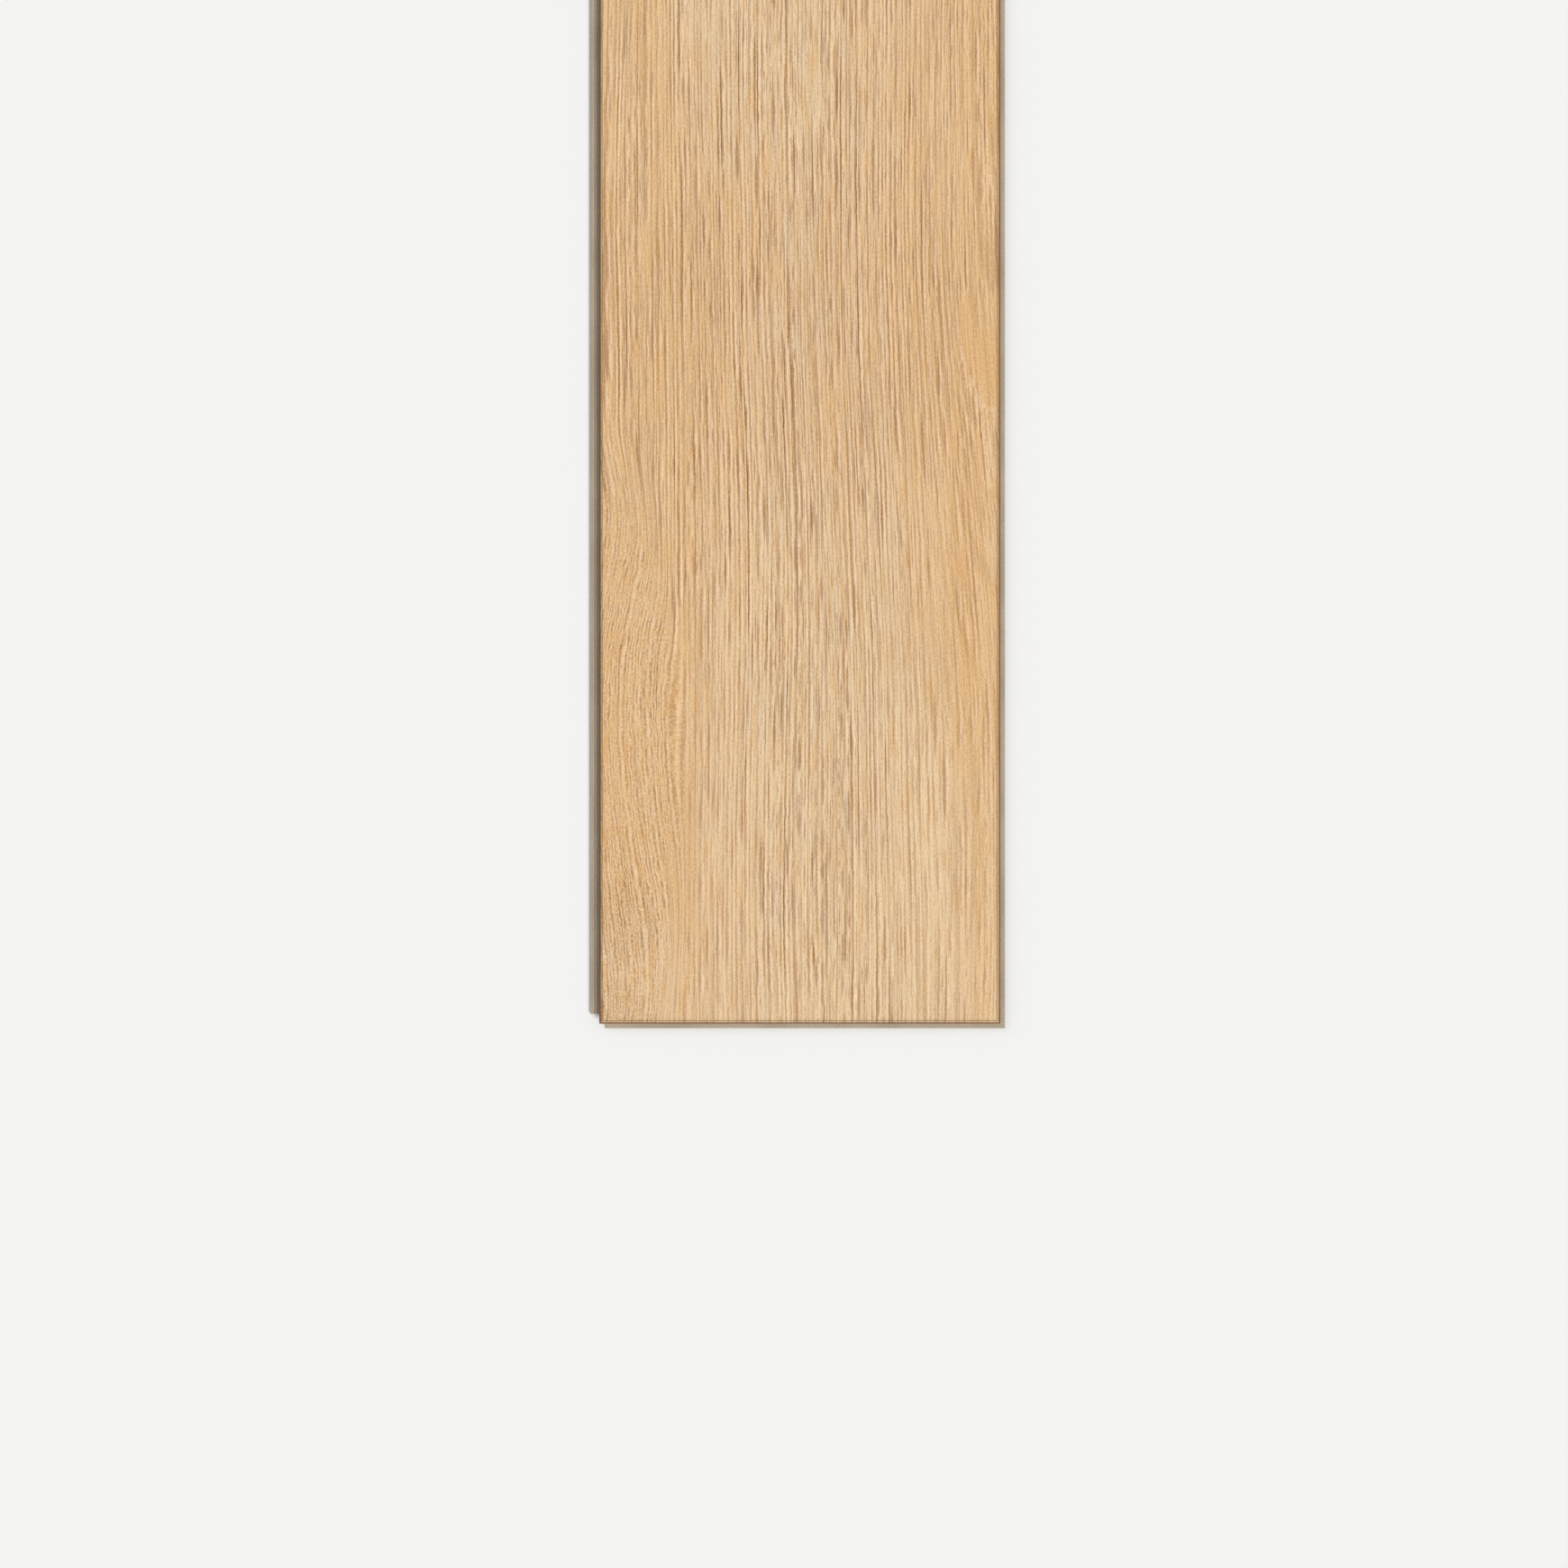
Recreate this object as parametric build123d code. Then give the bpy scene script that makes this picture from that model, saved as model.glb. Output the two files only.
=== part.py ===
from build123d import *
import os
from math import radians, tan

# A click-lock luxury vinyl plank: one rigid board with a bevelled wear face.
# One long edge and one end carry a tongue, and the other long edge and end carry a groove with a
# locking strip below it, so that planks angle together into a floor.
#
# Frame: X runs across the plank, Y along it, and Z up from the underside to the wear face.
# The origin lies on the underside, below the middle of the face that the plank covers.
# All sizes are in millimetres and all angles in degrees.

# Board
cover_width = 228.0  # face width from joint line to joint line
cover_length = 1220.0  # face length from joint line to joint line
thickness = 6.0  # underside to wear face

# Bevel round the wear face
bevel_width = 1.5
bevel_depth = 0.7

# Groove edge
upper_lip = 1.9  # wear face down to the groove's roof
groove_depth = 3.0  # joint line in to the back of the groove
strip_top = 2.0  # underside up to the upper side of the locking strip
strip_reach = 5.2  # joint line out to the strip's free edge
strip_relief = 0.3  # gap below the strip, which lets it flex
relief_inset = 1.5  # how far the gap runs in behind the joint line

# Locking rib on the strip
rib_start = 2.8  # joint line out to the foot of the locking face
rib_rise = 0.7  # height above the strip
rib_angle = 60.0  # slope of the locking face above the strip
rib_crest = 0.9  # width of the flat top
strip_lip = 0.5  # drop of the lead-in slope below the strip's upper side

# Fits and cutter radii
fit_gap = 0.1  # play between facing surfaces of two locked planks
end_gap = 0.25  # play at the tongue's tip and at the strip's free edge
tongue_radius = 0.7  # rounding of the tongue's nose
rib_radius = 0.25  # rounding of the rib's crest
cutter_radius = 0.2  # rounding left in the milled inner corners

# The tongue and its undercut are the mating groove and strip, less the play
groove_roof = thickness - upper_lip
rib_top = strip_top + rib_rise
rib_run = rib_rise / tan(radians(rib_angle))
tongue_top = groove_roof - fit_gap
tongue_bottom = strip_top + fit_gap
tongue_reach = groove_depth - end_gap
hook_start = rib_start - fit_gap
undercut_roof = rib_top + fit_gap
hook_run = (undercut_roof - tongue_bottom) / tan(radians(rib_angle))
undercut_depth = strip_reach + end_gap


def tongue_edge(joint):
    """Corners (across, up, radius) from the wear face round the tongue to the underside."""
    return [
        (joint - bevel_width, thickness, 0),
        (joint, thickness - bevel_depth, 0),
        (joint, tongue_top, cutter_radius),
        (joint + tongue_reach, tongue_top, tongue_radius),
        (joint + tongue_reach, tongue_bottom, tongue_radius),
        (joint - hook_start, tongue_bottom, cutter_radius),
        (joint - hook_start - hook_run, undercut_roof, cutter_radius),
        (joint - undercut_depth, undercut_roof, cutter_radius),
        (joint - undercut_depth, 0, 0),
    ]


def groove_edge(joint):
    """Corners (across, up, radius) from the underside round the strip and groove to the wear face."""
    return [
        (joint + relief_inset, 0, 0),
        (joint + relief_inset, strip_relief, 0),
        (joint - strip_reach, strip_relief, 0),
        (joint - strip_reach, strip_top - strip_lip, 0),
        (joint - rib_start - rib_run - rib_crest, rib_top, rib_radius),
        (joint - rib_start - rib_run, rib_top, rib_radius),
        (joint - rib_start, strip_top, cutter_radius),
        (joint + groove_depth, strip_top, cutter_radius),
        (joint + groove_depth, groove_roof, cutter_radius),
        (joint, groove_roof, cutter_radius),
        (joint, thickness - bevel_depth, 0),
        (joint + bevel_width, thickness, 0),
    ]


def milled_board(plane, cover, length):
    """A board milled along one pair of edges: groove at minus X of the plane, tongue at plus X."""
    corners = groove_edge(-cover / 2) + tongue_edge(cover / 2)
    outline = FilletPolyline(
        [(across, up) for across, up, _ in corners],
        radius=[radius for _, _, radius in corners],
        close=True,
    )
    return extrude(plane * make_face(outline), amount=length, both=True)


def click_plank():
    """The long edges are milled first and the ends second, and the plank is what both leave."""
    along = Plane(origin=(0, 0, 0), x_dir=(1, 0, 0), z_dir=(0, -1, 0))
    crosswise = Plane(origin=(0, 0, 0), x_dir=(0, -1, 0), z_dir=(-1, 0, 0))
    long_milled = milled_board(along, cover_width, cover_length)
    end_milled = milled_board(crosswise, cover_length, cover_width)
    crossed = long_milled & end_milled
    # Where two profiles cross, loose chips of rib are left at the corners, and they fall away
    return max(crossed.solids(), key=lambda solid: solid.volume)


plank = click_plank()
plank.label = "plank"

os.makedirs("parts", exist_ok=True)
export_step(plank, "parts/plank.step")

box = plank.bounding_box()
print(f"plank {box.size.X:.2f} x {box.size.Y:.2f} x {box.size.Z:.2f} mm, {plank.volume / 1000:.1f} cm3")
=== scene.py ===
# %% [markdown]
# # A vinyl plank with an embossed oak print
# A luxury vinyl plank is one pressed board. A film printed with oak lies under a clear, satin wear layer, and
# the pattern of the print is also pressed into the face, so that the lines can be felt. The edges are milled.
# The frame gives the exact board. This lesson dresses it: relief on the face, and a finish for each surface.

# %% Load the frame
import math

import bpy
import numpy as np
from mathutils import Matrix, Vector


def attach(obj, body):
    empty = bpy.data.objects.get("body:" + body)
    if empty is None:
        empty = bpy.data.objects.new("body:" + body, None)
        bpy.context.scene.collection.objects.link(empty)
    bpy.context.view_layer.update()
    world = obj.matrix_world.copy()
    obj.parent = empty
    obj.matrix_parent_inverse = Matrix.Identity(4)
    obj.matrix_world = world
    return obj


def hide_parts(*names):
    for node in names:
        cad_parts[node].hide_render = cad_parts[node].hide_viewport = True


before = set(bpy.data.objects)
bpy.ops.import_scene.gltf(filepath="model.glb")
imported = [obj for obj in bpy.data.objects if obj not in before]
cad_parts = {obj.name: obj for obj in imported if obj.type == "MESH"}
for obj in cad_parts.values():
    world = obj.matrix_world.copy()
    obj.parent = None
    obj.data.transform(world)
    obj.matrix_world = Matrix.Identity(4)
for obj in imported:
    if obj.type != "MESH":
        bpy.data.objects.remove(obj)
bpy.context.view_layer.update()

MM = 0.001

# %% [markdown]
# ## Measure the board
# Everything that follows needs to know where the flat face ends, where its bevel ends, and how high both lie.
# These sizes could be typed in again, but then a changed board would no longer fit. So they are measured on
# the mesh that the frame brought: the highest corners bound the face, and the next ones down the joint lines.

# %% Find the face and the joint lines
SAME = 0.001 * MM  # places nearer than this count as one
BEVEL_ZONE = 0.8  # the bevel lies above this share of the thickness

cad_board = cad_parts["plank"]
corners = np.array([corner.co for corner in cad_board.data.vertices])
across, along, up = corners.T

face_top = up.max()
on_face = up > face_top - SAME
face_half_x = across[on_face].max()
face_half_y = along[on_face].max()

bevel_foot = up[~on_face & (up > BEVEL_ZONE * face_top)].max()
on_foot = np.abs(up - bevel_foot) < SAME
joint_half_x = across[on_foot].max()
joint_half_y = along[on_foot].max()

print(f"Face {2 * face_half_x / MM:.1f} x {2 * face_half_y / MM:.1f} mm at {face_top / MM:.2f} mm")
print(f"Joint lines {2 * joint_half_x / MM:.1f} x {2 * joint_half_y / MM:.1f} mm at {bevel_foot / MM:.2f} mm")

# %% [markdown]
# ## Camera
# The photo looks straight down, from so far away that the board's edges stay parallel. A long lens high above
# the board does the same. The width of the board in pixels gives the scale, and the pixels of its two long
# edges and its near end give the point below the lens.

# %% Set up the camera
IMAGE_SIDE = 1740
LEFT_JOINT_PX = 665
RIGHT_JOINT_PX = 1110
END_JOINT_PX = 1136
CAMERA_HEIGHT = 2.6
SIGHT_LIMIT = 200

metres_per_px = 2 * joint_half_x / (RIGHT_JOINT_PX - LEFT_JOINT_PX)
frame_width = IMAGE_SIDE * metres_per_px
middle_px = IMAGE_SIDE / 2
camera_x = (middle_px - (LEFT_JOINT_PX + RIGHT_JOINT_PX) / 2) * metres_per_px
camera_y = (END_JOINT_PX - middle_px) * metres_per_px - joint_half_y

bpy.ops.object.select_all(action="DESELECT")
bpy.ops.object.camera_add(location=(camera_x, camera_y, face_top + CAMERA_HEIGHT), rotation=(0, 0, 0))
camera = bpy.context.object
camera.name = "photo_camera"
camera.data.lens = camera.data.sensor_width * CAMERA_HEIGHT / frame_width
camera.data.clip_end = SIGHT_LIMIT
camera.data.dof.use_dof = False
bpy.context.scene.camera = camera
print(f"The picture is {frame_width:.3f} m wide, {metres_per_px / MM:.3f} mm to a pixel")
print(f"Lens {camera.data.lens:.0f} mm")

# %% [markdown]
# ## Floor and light
# The floor is plain and pale. Lamps near the board would light one end more than the other, so two wide,
# distant lamps are used. The strong one shines from the lower right, because the bevels that face that way
# are bright in the photo and the others dark. A weak one fills in from the upper left, and the sky does so
# from all sides. The standard view shows colours as they are, so that they can be compared with the photo.

# %% Lay the floor
FLOOR_SIDE = 80.0
FLOOR_DROP = 0.02 * MM
FLOOR_COLOUR = (0.86, 0.86, 0.855, 1)

bpy.ops.mesh.primitive_plane_add(size=FLOOR_SIDE, location=(0, 0, -FLOOR_DROP))
floor = bpy.context.object
floor.name = "floor"

floor_paint = bpy.data.materials.new("floor_paint")
floor_paint.use_nodes = True
floor_shader = floor_paint.node_tree.nodes["Principled BSDF"]
floor_shader.inputs["Base Color"].default_value = FLOOR_COLOUR
floor_shader.inputs["Roughness"].default_value = 0.9
floor_shader.inputs["Specular IOR Level"].default_value = 0.2
floor.data.materials.append(floor_paint)
print(f"Floor {FLOOR_SIDE:.0f} m square")

# %% Hang the lights
SKY_COLOUR = (1.0, 0.99, 0.975, 1)
SKY_STRENGTH = 0.44
LAMPS = [
    # name, direction that the light comes from, strength, spread in degrees
    ("key_lamp", (0.45, -0.62, 0.64), 2.6, 30),
    ("fill_lamp", (-0.70, 0.35, 0.62), 0.4, 60),
]

scene = bpy.context.scene
scene.view_settings.view_transform = "Standard"
if scene.world is None:
    scene.world = bpy.data.worlds.new("studio")
scene.world.use_nodes = True
sky = scene.world.node_tree.nodes["Background"]
sky.inputs["Color"].default_value = SKY_COLOUR
sky.inputs["Strength"].default_value = SKY_STRENGTH

for name, source_side, strength, spread in LAMPS:
    turned = Vector(source_side).to_track_quat("Z", "Y").to_euler()
    bpy.ops.object.light_add(type="SUN", location=source_side, rotation=turned)
    lamp = bpy.context.object
    lamp.name = name
    lamp.data.energy = strength
    lamp.data.angle = math.radians(spread)

# %% [markdown]
# ## Small helpers for node trees
# The oak figure is needed twice: in the material, which prints it, and in the modifier, which presses it into
# the face. Both are node trees and share the same kinds of nodes. A few helpers keep the recipes short: one
# adds a node, one feeds a socket with a number or with another socket, and the others build on these.

# %% Nodes and arithmetic
def add_node(tree, kind, **settings):
    made = tree.nodes.new(kind)
    for name, value in settings.items():
        setattr(made, name, value)
    return made


def feed(tree, socket, value):
    if isinstance(value, bpy.types.NodeSocket):
        tree.links.new(value, socket)
    else:
        socket.default_value = value


def calc(tree, operation, *values):
    made = add_node(tree, "ShaderNodeMath", operation=operation)
    for socket, value in zip(made.inputs, values):
        feed(tree, socket, value)
    return made.outputs["Value"]


def share(tree, part, whole):
    return calc(tree, "MULTIPLY", part, whole)


def larger(tree, first, second):
    return calc(tree, "MAXIMUM", first, second)


def scaled(tree, value, factor, start):
    """The value times the factor, counted from start."""
    return calc(tree, "MULTIPLY_ADD", value, factor, start)


def altered(tree, amount, change):
    """1 where the amount is 0, and 1 plus the change where it is 1."""
    return scaled(tree, amount, change, 1.0)


# %% Smooth steps and noise
SEED_STEP_ACROSS = 17.3  # two seeds read the noise this far apart
SEED_STEP_ALONG = 9.7


def ramp(tree, value, low, high, to_low=0.0, to_high=1.0):
    """A smooth step: to_low below low, to_high above high."""
    made = add_node(tree, "ShaderNodeMapRange", interpolation_type="SMOOTHSTEP")
    ends = {"Value": value, "From Min": low, "From Max": high, "To Min": to_low, "To Max": to_high}
    for name, number in ends.items():
        feed(tree, made.inputs[name], number)
    return made.outputs["Result"]


def window(tree, value, start, end, soft):
    """1 between start and end, with soft sides that reach outwards."""
    rise = ramp(tree, value, start - soft, start)
    fall = ramp(tree, value, end, end + soft, to_low=1.0, to_high=0.0)
    return share(tree, rise, fall)


def streaks(tree, across, along, width, length, seed, detail=0.0):
    """Noise about 0.5 whose blobs are about width by length, all in millimetres."""
    place = add_node(tree, "ShaderNodeCombineXYZ")
    feed(tree, place.inputs["X"], scaled(tree, across, 1 / width, SEED_STEP_ACROSS * seed))
    feed(tree, place.inputs["Y"], scaled(tree, along, 1 / length, SEED_STEP_ALONG * seed))
    noise = add_node(tree, "ShaderNodeTexNoise", noise_dimensions="2D")
    feed(tree, noise.inputs["Vector"], place.outputs["Vector"])
    noise.inputs["Scale"].default_value = 1
    noise.inputs["Detail"].default_value = detail
    return noise.outputs[0]


def wander(tree, across, along, width, length, seed, reach, detail=0.0):
    """Such noise that swings about 0, by no more than reach to either side."""
    return scaled(tree, streaks(tree, across, along, width, length, seed, detail), 2 * reach, -reach)


# %% [markdown]
# ## The oak figure
# The pattern is that of a board sawn beside the heart of a log. Growth rings are nested cones, and a flat cut
# through them gives lines that run along the board and turn into long pointed arches where the cut passes the
# heart. Here the heart lies just inside the right edge, where the photo shows such an arch begin. A picture
# of oak could be laid over the board, but nodes stay sharp at any size and can press the relief too. The
# areas come first: some parts of the face are flecked, and a flame is the smooth amber tip of an arch. It is
# drawn as an oval with a ragged outline, a thin pale rim and a rough seam beside it, which all fade behind
# the tip.

# %% Places and areas
FLECKED_AREAS = [((-106, -490), (44, 230)), ((95, 160), (40, 150)), ((-90, 330), (45, 200))]
FLAMES = [((112, -150), (28, 116)), ((108, 430), (22, 120))]
FLAME_FADE = (0.78, 0.3)  # a flame fades between these shares of its half length before its middle
FLAME_EDGE = (0.75, 1.0)  # where the edge, the rim and the seam lie, as the function apart counts
FLAME_RIM = (0.955, 0.985)
FLAME_SEAM = (1.04, 1.25)


def in_millimetres(tree, place):
    """The sockets x, y and z of a place that is given in metres."""
    enlarged = add_node(tree, "ShaderNodeVectorMath", operation="SCALE")
    feed(tree, enlarged.inputs[0], place)
    enlarged.inputs["Scale"].default_value = 1 / MM
    split = add_node(tree, "ShaderNodeSeparateXYZ")
    feed(tree, split.inputs[0], enlarged.outputs[0])
    return split.outputs["X"], split.outputs["Y"], split.outputs["Z"]


def apart(tree, x, y, middle, half_size):
    """How far a place lies from the middle of an oval, squared: 1 on its outline."""
    across = scaled(tree, x, 1 / half_size[0], -middle[0] / half_size[0])
    along = scaled(tree, y, 1 / half_size[1], -middle[1] / half_size[1])
    return scaled(tree, along, along, share(tree, across, across))


def patches(tree, x, y, areas, core=0.15):
    """1 in the middle of each oval area, given by its middle and half size, and 0 outside them."""
    covered = 0.0
    for middle, half_size in areas:
        inside = ramp(tree, apart(tree, x, y, middle, half_size), core, 1.0, to_low=1.0, to_high=0.0)
        covered = larger(tree, covered, inside)
    return covered


def flames(tree, x, y):
    """Three sockets: in a flame's tip, on the pale rim of the tip, and in the seam beside it."""
    flame, rim, seam = 0.0, 0.0, 0.0
    for middle, half_size in FLAMES:
        ragged = wander(tree, x, y, width=3, length=14, seed=9, reach=0.2, detail=1.0)
        outline = calc(tree, "ADD", apart(tree, x, y, middle, half_size), ragged)
        fade_start, fade_end = (middle[1] - part * half_size[1] for part in FLAME_FADE)
        tip = ramp(tree, y, fade_start, fade_end, to_low=1.0, to_high=0.0)
        inside = ramp(tree, outline, *FLAME_EDGE, to_low=1.0, to_high=0.0)
        pale_line = window(tree, outline, *FLAME_RIM, soft=0.03)
        beside = window(tree, outline, *FLAME_SEAM, soft=0.06)
        flame = larger(tree, flame, share(tree, inside, tip))
        rim = larger(tree, rim, share(tree, pale_line, tip))
        seam = larger(tree, seam, share(tree, beside, tip))
    return flame, rim, seam


print("Flecked areas:", len(FLECKED_AREAS), "flames:", len(FLAMES))

# %% [markdown]
# ### How the fibres run
# Wood fibres never run quite straight. Here they sway slowly, ripple a little and shiver, and near the heart
# they lean into the arch. In the flecked areas they also swirl from side to side and crinkle, as in curly
# oak. They could be drawn as curves one by one, but one sum of sideways steps bends all lines together.

# %% Lean of the fibres
HEART_X = 108.0  # the heart's line, across the board
ARCH_START, ARCH_END = -450.0, -170.0  # between these the lines lean towards the heart
ARCH_LEAN = 22.0  # how far they lean there in all
ARCH_REACH = 50.0  # how far from the heart the lines still lean
SWIRL_START, SWIRL_LENGTH, SWIRL_REACH = -510.0, 280.0, 6.0


def fibre_lean(tree, x, y, from_heart, flecked):
    """How many millimetres the fibres lie beside their straight line."""
    sway = wander(tree, x, y, width=70, length=260, seed=1, reach=4)
    ripple = wander(tree, x, y, width=9, length=80, seed=2, reach=0.5)
    shiver = wander(tree, x, y, width=2.2, length=6, seed=6, reach=0.22)
    waver = calc(tree, "ADD", calc(tree, "ADD", sway, ripple), shiver)

    past_start = calc(tree, "SUBTRACT", y, SWIRL_START)
    turn = calc(tree, "SINE", share(tree, past_start, math.tau / SWIRL_LENGTH))
    stray = wander(tree, x, y, width=60, length=110, seed=24, reach=3)
    crinkle = wander(tree, x, y, width=4, length=12, seed=27, reach=0.6)
    swirl = calc(tree, "ADD", scaled(tree, turn, SWIRL_REACH, stray), crinkle)
    waver = scaled(tree, swirl, flecked, waver)

    far = share(tree, from_heart, 1 / ARCH_REACH)
    pull = calc(tree, "DIVIDE", 1.0, scaled(tree, far, far, 1.0))
    arch = ramp(tree, y, ARCH_START, ARCH_END, to_low=0.0, to_high=ARCH_LEAN)
    return scaled(tree, arch, pull, waver)


print(f"The heart lies at x {HEART_X:.0f} mm, the fibres lean up to {ARCH_LEAN:.0f} mm into the arch")

# %% [markdown]
# ### Growth rings
# Each year's ring has a light and a dark side. Rings could be drawn as curves one by one, but the distance
# to the heart, counted in ring widths, already says which ring a place lies in and how far through it. Rings
# aren't even: their widths vary, every second one is fainter, and each fades in and out along the board.

# %% Ring lines
HEART_DEPTH = 45.0  # how deep below the face the heart lies
RING_PITCH = 2.5
RING_UNEVENNESS = 1.5
RING_DARK_SIDE = (0.61, 0.79)  # shares of the way through a ring
RING_LIGHT_SIDE = (0.14, 0.28)
RING_SOFTNESS = 0.14
ROW_STEP = 4.7  # two lines beside each other read the noise this far apart


def growth_rings(tree, y, from_heart, lean, held_back):
    """The dark and the light lines of the rings."""
    spread = calc(tree, "SQRT", scaled(tree, from_heart, from_heart, HEART_DEPTH**2))
    ring_place = calc(tree, "SUBTRACT", spread, lean)
    uneven = share(tree, streaks(tree, ring_place, 0.0, width=9, length=1, seed=3), RING_UNEVENNESS)
    ring_count = scaled(tree, ring_place, 1 / RING_PITCH, uneven)
    ring_number = calc(tree, "FLOOR", ring_count)
    phase = calc(tree, "FRACT", ring_count)

    chance = add_node(tree, "ShaderNodeTexWhiteNoise", noise_dimensions="1D")
    feed(tree, chance.inputs["W"], ring_number)
    odd = calc(tree, "FRACT", share(tree, ring_number, 0.5))
    weaker_odd = scaled(tree, odd, -0.7, 0.5)
    strength = scaled(tree, chance.outputs["Value"], 0.5, weaker_odd)
    run = streaks(tree, share(tree, ring_number, ROW_STEP), y, width=1, length=64, seed=4, detail=2.0)
    fade = ramp(tree, run, 0.36, 0.62, to_low=0.22, to_high=0.9)
    off_heart = ramp(tree, calc(tree, "ABSOLUTE", from_heart), 5, 45, to_low=0.4, to_high=1.0)
    held = share(tree, share(tree, strength, fade), share(tree, off_heart, held_back))

    dark = share(tree, window(tree, phase, *RING_DARK_SIDE, soft=RING_SOFTNESS), held)
    light = share(tree, window(tree, phase, *RING_LIGHT_SIDE, soft=RING_SOFTNESS), held)
    return dark, light


print(f"Rings {RING_PITCH} mm apart about a heart {HEART_DEPTH:.0f} mm deep")

# %% [markdown]
# ### Pores
# Oak has wide pores, which a cut along the fibres opens as dark dashes, each with a light side. They could be
# modelled one by one, but there are thousands. So the face is split into narrow rows along the fibres, and
# noise along each row says where a dash starts and ends. Three sizes lie over each other in straight grain,
# and short flecks stand in for them where the grain is curly.

# %% Dashes along the fibres
DASH_KINDS = [
    # pitch and length in millimetres, seed, noise at which a dash starts and is full, strength
    (3.2, 40, 5, 0.41, 0.61, 1.0),
    (2.4, 18, 7, 0.31, 0.57, 0.8),
    (1.8, 7, 8, 0.30, 0.60, 0.55),
]
FLECK_KIND = (1.8, 7.5, 15, 0.20, 0.52)
FLECK_STRENGTH = 0.72
DASH_SIDES = (0.27, 0.77)  # where the dark and the light side lie in a row
DASH_TAPER = 1.3
ROW_UNEVENNESS = 1.6


def dashes(tree, across, along, pitch, length, seed, low, high):
    """Thin dark lines that taper at both ends, and a light line on the right of each."""
    uneven = streaks(tree, across, 0.0, width=3 * pitch, length=1, seed=seed + 0.5)
    count = scaled(tree, across, 1 / pitch, share(tree, uneven, ROW_UNEVENNESS))
    row = share(tree, calc(tree, "FLOOR", count), ROW_STEP)
    run = streaks(tree, row, along, width=1, length=length, seed=seed, detail=1.0)
    tones = []
    for middle in DASH_SIDES:
        off = calc(tree, "ABSOLUTE", calc(tree, "SUBTRACT", calc(tree, "FRACT", count), middle))
        tones.append(ramp(tree, scaled(tree, off, -DASH_TAPER, run), low, high))
    return tones


def pore_lines(tree, fibre, y, rough, ordered, calm):
    """The dark and the light sides of the pores."""
    straight = [0.0, 0.0]
    for *kind, strength in DASH_KINDS:
        for side, tone in enumerate(dashes(tree, fibre, y, *kind)):
            straight[side] = larger(tree, straight[side], share(tree, tone, strength))
    fleck_share = share(tree, rough, FLECK_STRENGTH)
    pores = []
    for tone, fleck in zip(straight, dashes(tree, fibre, y, *FLECK_KIND)):
        both = scaled(tree, fleck, fleck_share, share(tree, tone, ordered))
        pores.append(share(tree, both, calm))
    return pores


print("Kinds of dashes:", len(DASH_KINDS), "and one of flecks")

# %% [markdown]
# ### The whole figure
# The parts come together in one function, which either node tree can call with the place of a point. Lines
# are weaker in the flecked areas, where the flecks take over, and nearly gone inside a flame.

# %% The figure
SPECKLED_AREAS = [((-99, -552), (22, 30)), ((-104, -606), (20, 26)), ((90, 170), (24, 40))]


def oak_figure(tree, place):
    """The sockets of the figure at a place in metres, worked out in millimetres."""
    x, y, _ = in_millimetres(tree, place)
    flecked = patches(tree, x, y, FLECKED_AREAS, core=0.45)
    flame, rim, seam = flames(tree, x, y)
    ordered = altered(tree, flecked, -0.75)
    calm = altered(tree, flame, -0.8)

    from_heart = calc(tree, "SUBTRACT", x, HEART_X)
    lean = fibre_lean(tree, x, y, from_heart, flecked)
    fibre = calc(tree, "ADD", x, lean)
    ring_dark, ring_light = growth_rings(tree, y, from_heart, lean, share(tree, ordered, calm))
    rough = larger(tree, flecked, seam)
    pore_dark, pore_light = pore_lines(tree, fibre, y, rough, ordered, calm)
    dots = ramp(tree, streaks(tree, fibre, y, width=0.9, length=1.1, seed=25, detail=1.0), 0.38, 0.68)
    speckle = share(tree, dots, patches(tree, x, y, SPECKLED_AREAS))
    return {
        "x": x, "y": y, "fibre": fibre,
        "flecked": flecked, "flame": flame, "rim": rim, "speckle": speckle,
        "ring_dark": ring_dark, "ring_light": ring_light,
        "pore_dark": pore_dark, "pore_light": pore_light,
    }


print("Speckled areas:", len(SPECKLED_AREAS))

# %% [markdown]
# ## The board's mesh
# The board's shape is already right, so its mesh is copied, not modelled again. The copy arrives as loose
# triangles: merging the doubles and dissolving flat edges gives clean faces. The face of the board is then
# one rectangle, and subdividing only its edges gives it a fine grid. Oak lines run lengthwise, so the cells
# are long and narrow: many across the board, where the lines change fast, and few along it.

# %% Copy and clean the board
SHARP_FROM = math.radians(20)
FLAT_BELOW = math.radians(0.5)

bpy.ops.object.select_all(action="DESELECT")
board = cad_board.copy()
board.data = cad_board.data.copy()
board.name = "oak_print_board"
board.parent = None
bpy.context.collection.objects.link(board)
bpy.context.view_layer.objects.active = board
board.select_set(True)

bpy.ops.object.mode_set(mode="EDIT")
bpy.ops.mesh.select_all(action="SELECT")
bpy.ops.mesh.remove_doubles(threshold=SAME)
bpy.ops.mesh.dissolve_limited(angle_limit=FLAT_BELOW)
bpy.ops.object.mode_set(mode="OBJECT")
bpy.ops.object.shade_smooth_by_angle(angle=SHARP_FROM)
print("Clean board:", len(board.data.polygons), "faces")

# %% Subdivide the face
CUTS_ACROSS = (19, 22)  # 20 times 23 cells
CUTS_ALONG = (9, 19)  # 10 times 20 cells
X_AXIS, Y_AXIS, Z_AXIS = 0, 1, 2


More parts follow.
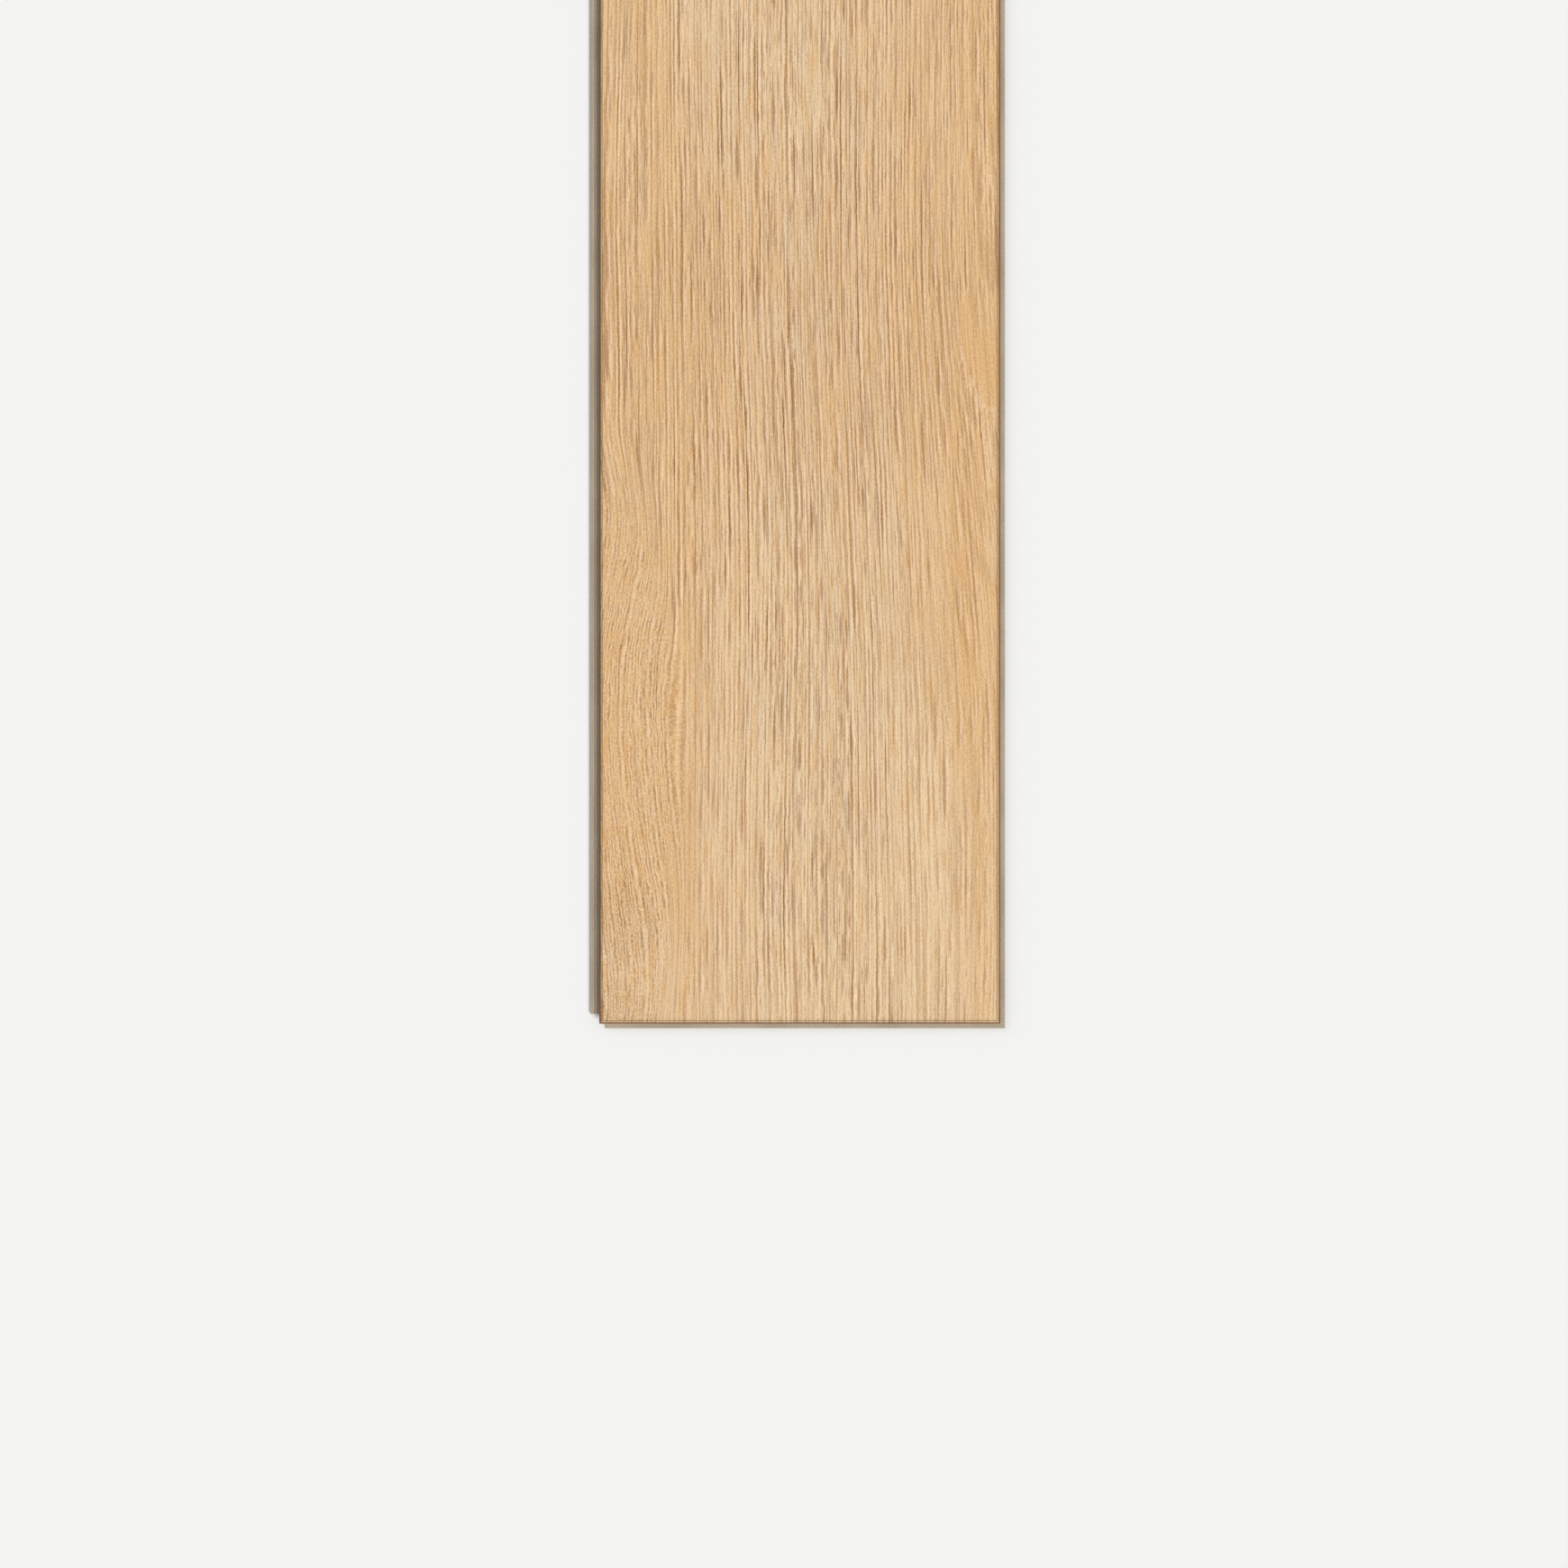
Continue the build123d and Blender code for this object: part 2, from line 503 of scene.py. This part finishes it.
def face_edges(piece, axis):
    """True for each edge of the face and of the bevel's foot that runs along one axis, X or Y."""
    mesh = piece.data
    places = np.empty(len(mesh.vertices) * 3)
    mesh.vertices.foreach_get("co", places)
    ends = np.empty(len(mesh.edges) * 2, int)
    mesh.edges.foreach_get("vertices", ends)
    start, end = places.reshape(-1, 3)[ends.reshape(-1, 2)].transpose(1, 0, 2)
    high = np.minimum(start[:, Z_AXIS], end[:, Z_AXIS]) > bevel_foot - SAME
    run = np.abs(end - start)
    straight = (run[:, Y_AXIS - axis] < SAME) & (run[:, Z_AXIS] < SAME)
    return high & straight & (run[:, axis] > SAME)


def cut_face(piece, axis, cuts):
    """Selects those edges and cuts each of them."""
    mesh = piece.data
    bpy.context.tool_settings.mesh_select_mode = (False, True, False)
    mesh.vertices.foreach_set("select", np.zeros(len(mesh.vertices), bool))
    mesh.polygons.foreach_set("select", np.zeros(len(mesh.polygons), bool))
    mesh.edges.foreach_set("select", face_edges(piece, axis))
    bpy.ops.object.mode_set(mode="EDIT")
    bpy.ops.mesh.subdivide(number_cuts=cuts)
    bpy.ops.object.mode_set(mode="OBJECT")


for cuts_across, cuts_along in zip(CUTS_ACROSS, CUTS_ALONG):
    cut_face(board, X_AXIS, cuts_across)
    cut_face(board, Y_AXIS, cuts_along)
print("Subdivided board:", len(board.data.polygons), "faces")

# %% [markdown]
# ## Press the relief
# On the real board a steel plate presses the grain into the warm face, in register with the print: each dark
# line is also a groove. A modifier made of geometry nodes can do the same, because it may use the very nodes
# that the material uses. It only ever moves the face down, so the board keeps its size.

# %% Emboss the face
RING_GROOVE = 0.10 * MM
PORE_GROOVE = 0.10 * MM

emboss = bpy.data.node_groups.new("registered_emboss", "GeometryNodeTree")
emboss.interface.new_socket("Geometry", in_out="INPUT", socket_type="NodeSocketGeometry")
emboss.interface.new_socket("Geometry", in_out="OUTPUT", socket_type="NodeSocketGeometry")
source = emboss.nodes.new("NodeGroupInput")
result = emboss.nodes.new("NodeGroupOutput")
position = emboss.nodes.new("GeometryNodeInputPosition").outputs["Position"]
figure = oak_figure(emboss, position)

ring_press = share(emboss, figure["ring_dark"], -RING_GROOVE)
press = scaled(emboss, figure["pore_dark"], -PORE_GROOVE, ring_press)
offset = emboss.nodes.new("ShaderNodeCombineXYZ")
feed(emboss, offset.inputs["Z"], press)
height = emboss.nodes.new("ShaderNodeSeparateXYZ")
feed(emboss, height.inputs[0], position)
at_top = calc(emboss, "GREATER_THAN", height.outputs["Z"], float(face_top - SAME))

mover = emboss.nodes.new("GeometryNodeSetPosition")
feed(emboss, mover.inputs["Geometry"], source.outputs["Geometry"])
feed(emboss, mover.inputs["Selection"], at_top)
feed(emboss, mover.inputs["Offset"], offset.outputs["Vector"])
feed(emboss, result.inputs["Geometry"], mover.outputs["Geometry"])

presser = board.modifiers.new("registered_emboss", "NODES")
presser.node_group = emboss
bpy.ops.object.modifier_apply(modifier=presser.name)

heights = np.array([corner.co.z for corner in board.data.vertices])
pressed = face_top - heights[heights > bevel_foot + SAME]
print(f"Relief: mean {pressed.mean() / MM:.3f} mm, deepest {pressed.max() / MM:.3f} mm")

# %% [markdown]
# ## The printed finish
# The film is printed in a few inks: honey and a greyer straw for the ground, amber and ash for its warm and
# cool streaks, cream and brown for the light and dark sides of the lines. One flat colour could never look
# like oak, so the material lays the inks over each other by the same figure that was pressed into the face,
# and print and relief line up.

# %% Inks
def ink(red, green, blue):
    """A colour as a picture stores it, 0 to 255, turned into the linear colour that a shader wants."""
    def linear(value):
        level = value / 255
        return level / 12.92 if level <= 0.04045 else ((level + 0.055) / 1.055) ** 2.4
    return (linear(red), linear(green), linear(blue), 1)


HONEY = ink(228, 188, 136)
STRAW = ink(232, 202, 159)
AMBER = ink(222, 174, 112)
ASH = ink(220, 200, 172)
CREAM = ink(251, 218, 186)
LINE_BROWN = ink(136, 87, 30)
# the bevel's brown, darkest at its foot, where it is partly painted shade of a joint
BEVEL_BROWN_AND_SHADE = ink(104, 66, 32)


def mix_inks(tree, amount, first, second):
    """Mixes two colours. Inputs 6 and 7 and output 2 are the ones for colours on a mix node."""
    made = add_node(tree, "ShaderNodeMix", data_type="RGBA")
    feed(tree, made.inputs[0], amount)
    feed(tree, made.inputs[6], first)
    feed(tree, made.inputs[7], second)
    return made.outputs[2]


def overprint(tree, base, colour, amount, strength):
    """Prints an ink over the base, by an amount that the strength holds back."""
    return mix_inks(tree, share(tree, amount, strength), base, colour)


print("Honey as linear light:", [round(part, 3) for part in HONEY[:3]])

# %% [markdown]
# ### The ground
# Between its lines oak is never one colour. This board has a pale middle, warm amber streaks, cool ash ones
# and soft brown bands, all drawn out along the fibres. One noise could tint it all, but then warm and cool
# would always come together. So each ink has its own noise, and oval areas place the larger tints. The two
# paler areas at the near end are partly painted sheen, a glow of light on the coat.

# %% Ground colour
MIDDLE_X = 8.0  # the middle of the pale stretch, across the board
AMBER_AREAS = [((94, -330), (14, 170)), ((-60, 260), (14, 190)), ((70, 330), (16, 160))]
DEEP_AREAS = [((0, -215), (150, 110)), ((-40, 270), (80, 170))]
# the first two areas, at the near end, are partly painted sheen; the others are the oak's own paler tone
PALE_AND_SHEEN_AREAS = [
    ((-92, -600), (44, 70)), ((60, -560), (95, 190)),
    ((-40, 60), (60, 200)), ((30, 480), (70, 220)),
]


def oak_ground(tree, figure):
    """The colour of the oak between its lines."""
    x, y, fibre, flecked = figure["x"], figure["y"], figure["fibre"], figure["flecked"]
    off_middle = calc(tree, "ABSOLUTE", calc(tree, "SUBTRACT", fibre, MIDDLE_X))
    middle = ramp(tree, off_middle, 15, 95, to_low=0.8, to_high=0.0)
    deep = patches(tree, x, y, DEEP_AREAS)
    drift = scaled(tree, streaks(tree, fibre, y, width=24, length=220, seed=11), 1.0, -0.4)
    pale = calc(tree, "ADD", middle, drift)
    # paler areas: the oak's own tone, and painted sheen at the near end
    pale = scaled(tree, patches(tree, x, y, PALE_AND_SHEEN_AREAS), 0.7, pale)
    pale = scaled(tree, deep, -0.5, pale)
    base = mix_inks(tree, pale, HONEY, STRAW)
    base = overprint(tree, base, LINE_BROWN, deep, strength=0.06)

    warm = ramp(tree, streaks(tree, fibre, y, width=4, length=28, seed=21, detail=1.0), 0.50, 0.72)
    warm = larger(tree, warm, patches(tree, x, y, AMBER_AREAS))
    warm = larger(tree, warm, figure["flame"])
    base = overprint(tree, base, AMBER, warm, strength=0.5)
    mottle = ramp(tree, streaks(tree, fibre, y, width=5, length=8, seed=23, detail=2.0), 0.45, 0.70)
    base = overprint(tree, base, AMBER, share(tree, mottle, flecked), strength=0.55)
    cool = ramp(tree, streaks(tree, fibre, y, width=2.4, length=55, seed=22, detail=0.5), 0.56, 0.70)
    base = overprint(tree, base, ASH, share(tree, cool, middle), strength=0.6)
    band = ramp(tree, streaks(tree, fibre, y, width=3.2, length=110, seed=13, detail=1.0), 0.42, 0.72)
    return overprint(tree, base, LINE_BROWN, band, strength=0.17)


# %% [markdown]
# ### The printed lines
# The light lines of the figure are printed in cream and the dark ones in brown, each only part of the way,
# so that the ground shows through. With one strength for all, they would look ruled. On this board some
# stretches are bold and others soft, so the strength changes over the face. A fine grit of both inks breaks
# up what is left of the flat colour.

# %% Printed lines
BOLD_AREAS = [((-2, -320), (75, 420)), ((74, -235), (46, 85)), ((-30, 330), (110, 240))]
SOFT_AREAS = [((112, -480), (80, 330)), ((-50, -530), (36, 230)), ((100, 220), (50, 200))]


def line_contrast(tree, figure):
    """How strongly the lines are printed, which differs from place to place."""
    x, y = figure["x"], figure["y"]
    clouds = streaks(tree, figure["fibre"], y, width=15, length=70, seed=16, detail=1.0)
    contrast = ramp(tree, clouds, 0.35, 0.65, to_low=0.72, to_high=1.0)
    bold = altered(tree, patches(tree, x, y, BOLD_AREAS), 0.17)
    soft = altered(tree, patches(tree, x, y, SOFT_AREAS), -0.23)
    return share(tree, share(tree, contrast, bold), soft)


def dark_lines(tree, figure):
    """How dark the rings and pores are, before the contrast is applied."""
    return larger(tree, share(tree, figure["ring_dark"], 1.05), share(tree, figure["pore_dark"], 0.7))


def print_lines(tree, figure, base, dark):
    """Prints the light and dark lines over the ground, the speckle, the flames' rims and a fine grit."""
    contrast = line_contrast(tree, figure)
    light = larger(tree, share(tree, figure["ring_light"], 0.95), share(tree, figure["pore_light"], 0.7))
    base = overprint(tree, base, CREAM, light, strength=contrast)
    base = overprint(tree, base, LINE_BROWN, dark, strength=contrast)
    base = overprint(tree, base, LINE_BROWN, figure["speckle"], strength=0.28)
    base = overprint(tree, base, CREAM, figure["rim"], strength=0.35)

    grit = streaks(tree, figure["fibre"], figure["y"], width=0.8, length=1.5, seed=14, detail=1.0)
    gritty = scaled(tree, figure["flecked"], 0.07, 0.15)
    base = overprint(tree, base, LINE_BROWN, ramp(tree, grit, 0.44, 0.68), strength=gritty)
    pale_grit = ramp(tree, grit, 0.28, 0.50, to_low=1.0, to_high=0.0)
    return overprint(tree, base, CREAM, pale_grit, strength=gritty)


# %% [markdown]
# ### The bevel and the clear coat
# The bevel is browner than the face. Its shoulder is a thin brown line. Its foot is a darker one, which is
# partly the bevel's own paint and partly painted shade: the dark of a joint between laid planks. The face
# also turns faintly brown near them. Thin strips could be modelled for this, but three soft steps on the
# distance past the face's outline give all of it. The clear coat is satin, a little duller in the dark lines,
# with a fine tooth that is too small to model and so is made as bump.

# %% Bevel
BEVEL_SHOULDER = (-0.3, 0.1)  # millimetres past the outline of the face
BEVEL_FOOT = (0.4, 0.75)
BEVEL_NEARBY = (-3.0, 0.5)


def shade_bevel(tree, figure, base):
    """Darkens the bevel, by how far a place lies past the outline of the face."""
    past_x = calc(tree, "SUBTRACT", calc(tree, "ABSOLUTE", figure["x"]), float(face_half_x / MM))
    past_y = calc(tree, "SUBTRACT", calc(tree, "ABSOLUTE", figure["y"]), float(face_half_y / MM))
    past = larger(tree, past_x, past_y)
    shoulder = share(tree, window(tree, past, *BEVEL_SHOULDER, soft=0.2), 0.65)
    # the foot's dark brown is partly the bevel's paint and partly painted shade, the dark of a joint between
    # planks
    foot = share(tree, ramp(tree, past, *BEVEL_FOOT), 0.92)
    nearby = share(tree, ramp(tree, past, *BEVEL_NEARBY), 0.15)
    brown_and_shade = larger(tree, larger(tree, shoulder, foot), nearby)
    return mix_inks(tree, brown_and_shade, base, BEVEL_BROWN_AND_SHADE)


# %% Oak print
def new_finish(name):
    """A new material, its node tree, its shader and the socket of a place on the object."""
    material = bpy.data.materials.new(name)
    material.use_nodes = True
    tree = material.node_tree
    place = add_node(tree, "ShaderNodeTexCoord").outputs["Object"]
    return material, tree, tree.nodes["Principled BSDF"], place


def set_surface(tree, shader, colour, roughness, bump_height, bump_strength, bump_depth):
    """Feeds the shader its colour and roughness, and a bump made from a height between 0 and 1."""
    bump = add_node(tree, "ShaderNodeBump")
    bump.inputs["Strength"].default_value = bump_strength
    bump.inputs["Distance"].default_value = bump_depth
    feed(tree, bump.inputs["Height"], bump_height)
    feed(tree, shader.inputs["Normal"], bump.outputs["Normal"])
    feed(tree, shader.inputs["Base Color"], colour)
    feed(tree, shader.inputs["Roughness"], roughness)


def oak_print():
    material, tree, shader, place = new_finish("oak_print")
    figure = oak_figure(tree, place)
    dark = dark_lines(tree, figure)
    base = print_lines(tree, figure, oak_ground(tree, figure), dark)
    base = shade_bevel(tree, figure, base)
    satin = ramp(tree, dark, 0.0, 0.8, to_low=0.46, to_high=0.64)
    tooth = streaks(tree, figure["x"], figure["y"], width=0.5, length=1.3, seed=26, detail=1.0)
    set_surface(tree, shader, base, satin, tooth, bump_strength=0.4, bump_depth=0.03 * MM)
    shader.inputs["Specular IOR Level"].default_value = 0.32
    print(material.name, "has", len(tree.nodes), "nodes")
    return material


board.data.materials.clear()
board.data.materials.append(oak_print())

# %% [markdown]
# ## The core and the underside
# Behind the film the board is vinyl filled with ground limestone, a warm grey with a fine speckle. The
# cutters that mill the tongue and groove leave fine lines along each edge, and a thin band below the bevel
# shows the film and the clear layer cut through. The underside is rolled to a fine pebble, a little paler
# than the core, with painted shade in the pebble's hollows. These marks are finer than the grain, so they are
# colour and bump, not geometry.

# %% Milled core
CORE_GREY = ink(178, 163, 142)
CORE_DARK = ink(140, 124, 104)
CORE_PALE = ink(206, 195, 178)
FILM_BROWN = ink(138, 96, 58)
FILM_BOTTOM = 4.85  # height of the film's lower side in millimetres
FILM_BLEND = 0.1
EDGE_DEPTH = 8.0  # how far in the milling reaches
STEEPNESS = 1.3  # how fast the cutter lines follow each other up a wall


def grains(tree, place, size):
    """Noise about 0.5 whose blobs are about one size in millimetres in all directions."""
    noise = add_node(tree, "ShaderNodeTexNoise", noise_dimensions="3D")
    feed(tree, noise.inputs["Vector"], place)
    noise.inputs["Scale"].default_value = 1 / (size * MM)
    noise.inputs["Detail"].default_value = 1.0
    return noise.outputs[0]


def milled_core():
    material, tree, shader, place = new_finish("milled_core")
    x, y, z = in_millimetres(tree, place)
    end_start = float(face_half_y / MM) - EDGE_DEPTH
    at_end = calc(tree, "GREATER_THAN", calc(tree, "ABSOLUTE", y), end_start)
    along = scaled(tree, at_end, calc(tree, "SUBTRACT", x, y), y)
    inwards = scaled(tree, at_end, calc(tree, "SUBTRACT", y, x), x)
    across = scaled(tree, z, STEEPNESS, inwards)

    cutter = streaks(tree, across, along, width=0.16, length=45, seed=31, detail=1.0)
    cloud = ramp(tree, streaks(tree, along, z, width=35, length=8, seed=34, detail=2.0), 0.3, 0.7)
    speckle = ramp(tree, grains(tree, place, 0.55), 0.52, 0.68)
    chalk = ramp(tree, grains(tree, place, 0.42), 0.62, 0.70)
    base = overprint(tree, CORE_GREY, CORE_DARK, cloud, strength=0.35)
    base = overprint(tree, base, CORE_DARK, ramp(tree, cutter, 0.45, 0.75), strength=0.35)
    base = overprint(tree, base, CORE_DARK, speckle, strength=0.45)
    base = overprint(tree, base, CORE_PALE, chalk, strength=0.7)
    base = mix_inks(tree, ramp(tree, z, FILM_BOTTOM, FILM_BOTTOM + FILM_BLEND), base, FILM_BROWN)

    dull = ramp(tree, cutter, 0.3, 0.7, to_low=0.55, to_high=0.75)
    set_surface(tree, shader, base, dull, cutter, bump_strength=0.35, bump_depth=0.03 * MM)
    print(material.name, "has", len(tree.nodes), "nodes")
    return material


board.data.materials.append(milled_core())

# %% Rolled underside
BACK_GREY = ink(186, 179, 168)
BACK_DARK = ink(160, 152, 141)


def rolled_underside():
    material, tree, shader, place = new_finish("rolled_underside")
    x, y, _ = in_millimetres(tree, place)
    pebble = grains(tree, place, 1.0)
    drag = ramp(tree, streaks(tree, x, y, width=3, length=260, seed=42, detail=2.0), 0.4, 0.7)
    cloud = ramp(tree, streaks(tree, x, y, width=60, length=140, seed=43, detail=2.0), 0.3, 0.7)
    # painted shade: the pebble's low spots, which the bump sinks, are darkened
    hollow_shade = ramp(tree, pebble, 0.35, 0.6, to_low=1.0, to_high=0.0)
    base = overprint(tree, BACK_GREY, BACK_DARK, cloud, strength=0.3)
    base = overprint(tree, base, BACK_DARK, drag, strength=0.35)
    base = overprint(tree, base, BACK_DARK, hollow_shade, strength=0.45)

    matt = ramp(tree, pebble, 0.3, 0.7, to_low=0.7, to_high=0.85)
    set_surface(tree, shader, base, matt, pebble, bump_strength=0.5, bump_depth=0.1 * MM)
    print(material.name, "has", len(tree.nodes), "nodes")
    return material


board.data.materials.append(rolled_underside())

# %% [markdown]
# ### Which face gets which finish
# The film covers the face and the bevel, so it goes on what lies above the bevel's foot and looks up. The
# underside is what lies on the floor and looks down, and the cutters made all the rest. Faces could be picked
# by hand, but height and direction tell them apart for sure.

# %% Give each face its finish
PRINT_SLOT, CORE_SLOT, BACK_SLOT = 0, 1, 2
LOOKS_UP = 0.5
LOOKS_DOWN = -0.9

face_heights = np.array([face.center.z for face in board.data.polygons])
face_turns = np.array([face.normal.z for face in board.data.polygons])
printed = (face_heights > bevel_foot) & (face_turns > LOOKS_UP)
under = (face_heights < SAME) & (face_turns < LOOKS_DOWN)
milled = ~printed & ~under


def choose_faces(chosen):
    """Selects the chosen faces of the board and no others."""
    bpy.context.tool_settings.mesh_select_mode = (False, False, True)
    board.data.vertices.foreach_set("select", np.zeros(len(board.data.vertices), bool))
    board.data.edges.foreach_set("select", np.zeros(len(board.data.edges), bool))
    board.data.polygons.foreach_set("select", chosen)


for slot, chosen in [(PRINT_SLOT, printed), (CORE_SLOT, milled), (BACK_SLOT, under)]:
    choose_faces(chosen)
    board.active_material_index = slot
    bpy.ops.object.mode_set(mode="EDIT")
    bpy.ops.object.material_slot_assign()
    bpy.ops.object.mode_set(mode="OBJECT")
    print(board.data.materials[slot].name, int(chosen.sum()), "faces")

# %% [markdown]
# ## A map for the baked colours
# A game engine can't run these node trees, so its colours have to be baked into one square picture, and a UV
# map says where each face lies on it. Oak changes fast across the board and slowly along it. So the face
# takes most of the picture's height for the board's width, and its whole length once along it. The underside
# and the edges are plainer and share what is left.

# %% Unwrap the milled edges
FOLD_FROM = math.radians(66)
ISLAND_GAP = 0.004

board.data.uv_layers.active = board.data.uv_layers.new(name="OFBake")
choose_faces(milled)
bpy.ops.object.mode_set(mode="EDIT")
bpy.ops.uv.smart_project(angle_limit=FOLD_FROM, island_margin=ISLAND_GAP)
bpy.ops.object.mode_set(mode="OBJECT")

# Edit mode builds the map anew, so it is fetched only now
bake_map = board.data.uv_layers["OFBake"]
corner_count = len(board.data.loops)
spots = np.empty(corner_count * 2)
bake_map.data.foreach_get("uv", spots)
spots = spots.reshape(-1, 2)
print("Corners on the map:", corner_count)

# %% Lay the faces out in bands
MAP_SIDES = (0.005, 0.995)
FACE_BAND = (0.19, 0.995)
BACK_BAND = (0.075, 0.18)
CORE_BAND = (0.005, 0.065)


def spread_over(values, low, high):
    """Stretches values so that the least becomes low and the greatest high."""
    return low + (values - values.min()) / np.ptp(values) * (high - low)


owners = np.empty(corner_count, int)
board.data.loops.foreach_get("vertex_index", owners)
places = np.array([corner.co for corner in board.data.vertices])[owners]
sides = np.array([face.loop_total for face in board.data.polygons])

for chosen, band in [(printed, FACE_BAND), (under, BACK_BAND), (milled, CORE_BAND)]:
    on = np.repeat(chosen, sides)
    if chosen is milled:
        along, across = spots[on].T
    else:
        along, across = places[on, Y_AXIS], places[on, X_AXIS]
    spots[on] = np.transpose([spread_over(along, *MAP_SIDES), spread_over(across, *band)])
    print("Band", band, "holds", int(chosen.sum()), "faces")
bake_map.data.foreach_set("uv", spots.ravel())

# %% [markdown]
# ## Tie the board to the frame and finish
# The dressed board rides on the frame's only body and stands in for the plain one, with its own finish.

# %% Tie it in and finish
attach(board, "root")
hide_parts("plank")
